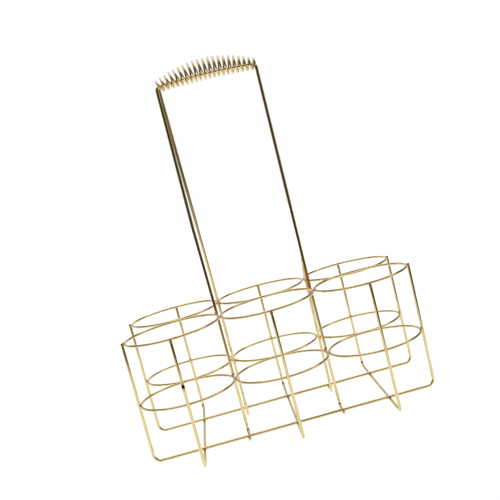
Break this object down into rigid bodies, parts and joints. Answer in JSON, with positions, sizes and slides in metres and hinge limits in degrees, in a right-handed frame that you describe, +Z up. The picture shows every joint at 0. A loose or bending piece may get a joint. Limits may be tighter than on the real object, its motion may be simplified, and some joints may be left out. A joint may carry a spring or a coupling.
{
  "type": "drink can caddy",
  "caption": "Wire caddy that carries standard drink cans in two rows of rings, with crossed floor wires and a tall handle of paired loops inside a coiled grip.",
  "frame": {"origin": "on the floor under the middle of the basket", "axes": "+Z up along the handle, the longest extent; +X to the right along the long rows of cans; -Y towards the viewer's side, +Y across the rows"},
  "size_m": [0.227, 0.153, 0.2912],
  "materials": {
    "ring_wire": "polished",
    "frame_wire": "polished",
    "handle_wire": "polished",
    "grip_wire": "polished"
  },
  "bodies": {
    "root": {"ring_upper_front_left": "ring_wire", "ring_upper_front_middle": "ring_wire", "ring_upper_front_right": "ring_wire", "ring_upper_rear_left": "ring_wire", "ring_upper_rear_middle": "ring_wire", "ring_upper_rear_right": "ring_wire", "ring_lower_front_left": "ring_wire", "ring_lower_front_middle": "ring_wire", "ring_lower_front_right": "ring_wire", "ring_lower_rear_left": "ring_wire", "ring_lower_rear_middle": "ring_wire", "ring_lower_rear_right": "ring_wire", "rail_frame_front": "frame_wire", "rail_frame_rear": "frame_wire", "cross_frame_left": "frame_wire", "cross_frame_middle": "frame_wire", "cross_frame_right": "frame_wire", "handle_loop_front": "handle_wire", "handle_loop_rear": "handle_wire", "grip_coil": "grip_wire"}
  },
  "joints": []
}
